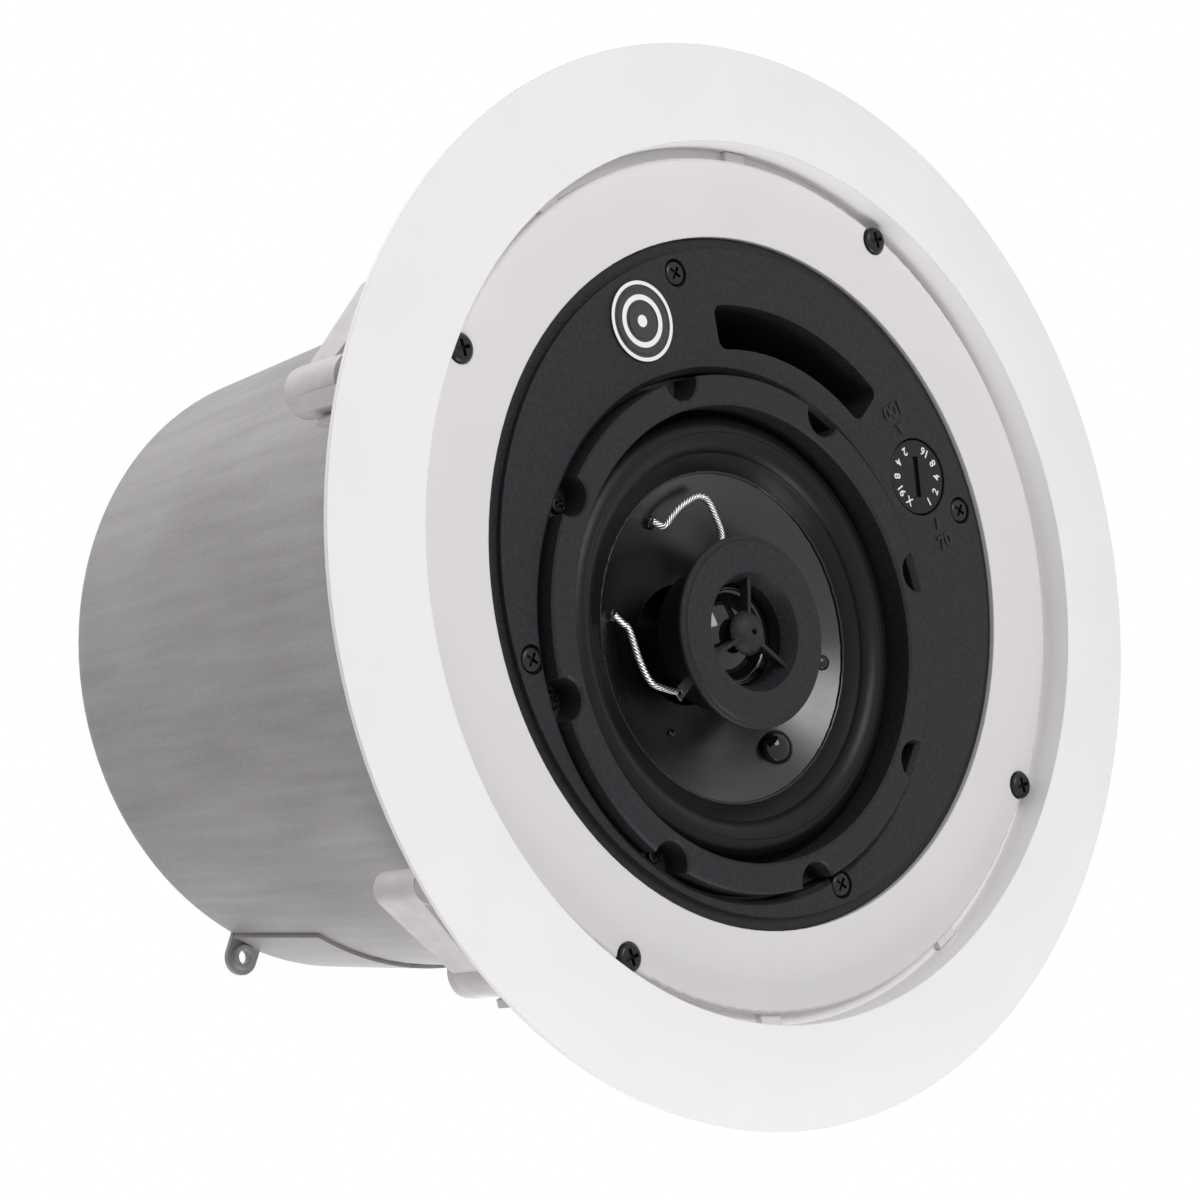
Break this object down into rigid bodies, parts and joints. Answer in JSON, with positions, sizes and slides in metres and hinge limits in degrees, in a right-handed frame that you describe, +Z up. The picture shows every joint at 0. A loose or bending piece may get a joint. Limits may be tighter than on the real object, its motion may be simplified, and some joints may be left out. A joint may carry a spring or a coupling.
{
  "type": "ceiling speaker",
  "caption": "Round in-ceiling loudspeaker with coaxial driver, crowned white trim ring, arc port, tap dial, folding clamps and a tapered steel back can.",
  "frame": {"origin": "centre of the trim bezel at the plane of its lip, the lowest point as installed", "axes": "+Z up into the ceiling, +X toward the tap dial, +Y away from the badge"},
  "size_m": [0.24, 0.24, 0.1639],
  "materials": {
    "white_bezel": "fine matte white",
    "white_ring": "fine matte off-white",
    "black_texture": "fine grained black",
    "black_plastic": "satin black",
    "dome_film": "glossy film",
    "cloth": "treated cloth",
    "badge": "white rings on black",
    "black_screw": "black oxide",
    "black_frame": "black powder coat",
    "rubber": "matte rubber",
    "cone": "dark satin",
    "former": "black film",
    "copper": "enamelled copper",
    "black_glue": "glossy glue",
    "steel": "zinc plated",
    "black_steel": "blackened",
    "ferrite": "dark ferrite",
    "tinned": "tinned",
    "braid": "silver braid",
    "galvanised": "dull galvanised sheet",
    "zinc_screw": "zinc plated",
    "laminations": "stacked laminations",
    "tape": "wound tape",
    "board": "lacquered board",
    "nylon": "natural nylon",
    "film": "wrapped film",
    "terminal": "moulded",
    "felt": "fibre wadding",
    "wire": "insulated wire",
    "clamp_plastic": "warm grey moulding"
  },
  "bodies": {
    "frame": {"back_can": "galvanised", "badge": "badge", "baffle_screws": "black_screw", "board_standoffs": "nylon", "cable_bushing": "black_plastic", "can_screws": "zinc_screw", "capacitor": "film", "clamp_towers": "clamp_plastic", "cover_plate": "galvanised", "crossover_board": "board", "damping_pad": "felt", "driver_basket": "black_frame", "driver_ring": "black_texture", "driver_screws": "black_screw", "driver_terminals": "black_plastic", "front_baffle": "black_texture", "hookup_wires": "wire", "inductor": "copper", "inner_screws": "zinc_screw", "magnet": "ferrite", "mounting_ring": "white_ring", "pole_piece": "black_steel", "port_tube": "black_texture", "solder_lugs": "tinned", "spider": "cloth", "surround": "rubber", "tap_switch_body": "black_plastic", "terminal_block": "terminal", "tinsel_lead_1": "braid", "tinsel_lead_2": "braid", "top_plate": "steel", "transformer_core": "laminations", "transformer_strap": "zinc_screw", "transformer_winding": "tape", "trim_bezel": "white_bezel", "tweeter_faceplate": "black_texture", "tweeter_housing": "black_plastic", "tweeter_magnet": "ferrite", "tweeter_post": "black_steel", "tweeter_surround": "dome_film", "tweeter_yoke": "steel"},
    "woofer_moving": {"woofer_cone": "cone", "voice_coil_former": "former", "voice_coil": "copper", "lead_eyelets": "black_glue", "adhesive_drops": "black_glue"},
    "tweeter_moving": {"tweeter_dome": "dome_film"},
    "dial": {"tap_dial": "black_plastic"},
    "nut_1": {"clamp_nut_1": "clamp_plastic"},
    "dog_1": {"clamp_dog_1": "clamp_plastic"},
    "screw_1": {"clamp_screw_1": "black_screw"},
    "nut_2": {"clamp_nut_2": "clamp_plastic"},
    "dog_2": {"clamp_dog_2": "clamp_plastic"},
    "screw_2": {"clamp_screw_2": "black_screw"},
    "nut_3": {"clamp_nut_3": "clamp_plastic"},
    "dog_3": {"clamp_dog_3": "clamp_plastic"},
    "screw_3": {"clamp_screw_3": "black_screw"},
    "nut_4": {"clamp_nut_4": "clamp_plastic"},
    "dog_4": {"clamp_dog_4": "clamp_plastic"},
    "screw_4": {"clamp_screw_4": "black_screw"}
  },
  "joints": [
    {"name": "woofer_stroke", "type": "slide", "parent": "frame", "child": "woofer_moving", "axis": [0, 0, 1], "range_m": [-0.003, 0.003], "stiffness_N_per_m": 800, "deforming": ["surround", "spider", "tinsel_lead_1", "tinsel_lead_2"]},
    {"name": "tweeter_stroke", "type": "slide", "parent": "frame", "child": "tweeter_moving", "axis": [0, 0, 1], "range_m": [-0.0003, 0.0003], "stiffness_N_per_m": 300, "deforming": ["tweeter_surround"]},
    {"name": "tap_turn", "type": "hinge", "parent": "frame", "child": "dial", "pos_m": [0.0587, -0.0106, 0.0075], "axis": [0, 0, 1], "range_deg": [0, 120]},
    {"name": "clamp_screw_1_spin", "type": "hinge", "parent": "frame", "child": "screw_1", "pos_m": [0.06569, 0.06569, 0.03], "axis": [0, 0, 1], "range_deg": [0, 6481]},
    {"name": "clamp_1_travel", "type": "slide", "parent": "frame", "child": "nut_1", "axis": [0, 0, 1], "range_m": [-0.027, 0]},
    {"name": "clamp_1_swing", "type": "hinge", "parent": "nut_1", "child": "dog_1", "pos_m": [0.06569, 0.06569, 0.048], "axis": [0, 0, 1], "range_deg": [-100, 0]},
    {"name": "clamp_screw_2_spin", "type": "hinge", "parent": "frame", "child": "screw_2", "pos_m": [-0.06569, 0.06569, 0.03], "axis": [0, 0, 1], "range_deg": [0, 6481]},
    {"name": "clamp_2_travel", "type": "slide", "parent": "frame", "child": "nut_2", "axis": [0, 0, 1], "range_m": [-0.027, 0]},
    {"name": "clamp_2_swing", "type": "hinge", "parent": "nut_2", "child": "dog_2", "pos_m": [-0.06569, 0.06569, 0.048], "axis": [0, 0, 1], "range_deg": [-100, 0]},
    {"name": "clamp_screw_3_spin", "type": "hinge", "parent": "frame", "child": "screw_3", "pos_m": [-0.06569, -0.06569, 0.03], "axis": [0, 0, 1], "range_deg": [0, 6481]},
    {"name": "clamp_3_travel", "type": "slide", "parent": "frame", "child": "nut_3", "axis": [0, 0, 1], "range_m": [-0.027, 0]},
    {"name": "clamp_3_swing", "type": "hinge", "parent": "nut_3", "child": "dog_3", "pos_m": [-0.06569, -0.06569, 0.048], "axis": [0, 0, 1], "range_deg": [-100, 0]},
    {"name": "clamp_screw_4_spin", "type": "hinge", "parent": "frame", "child": "screw_4", "pos_m": [0.06569, -0.06569, 0.03], "axis": [0, 0, 1], "range_deg": [0, 6481]},
    {"name": "clamp_4_travel", "type": "slide", "parent": "frame", "child": "nut_4", "axis": [0, 0, 1], "range_m": [-0.027, 0]},
    {"name": "clamp_4_swing", "type": "hinge", "parent": "nut_4", "child": "dog_4", "pos_m": [0.06569, -0.06569, 0.048], "axis": [0, 0, 1], "range_deg": [-100, 0]}
  ],
  "couplings": [
    {"joint": "clamp_screw_1_spin", "follows": "clamp_1_travel", "rad_per_m": -4188.8},
    {"joint": "clamp_screw_2_spin", "follows": "clamp_2_travel", "rad_per_m": -4188.8},
    {"joint": "clamp_screw_3_spin", "follows": "clamp_3_travel", "rad_per_m": -4188.8},
    {"joint": "clamp_screw_4_spin", "follows": "clamp_4_travel", "rad_per_m": -4188.8}
  ]
}
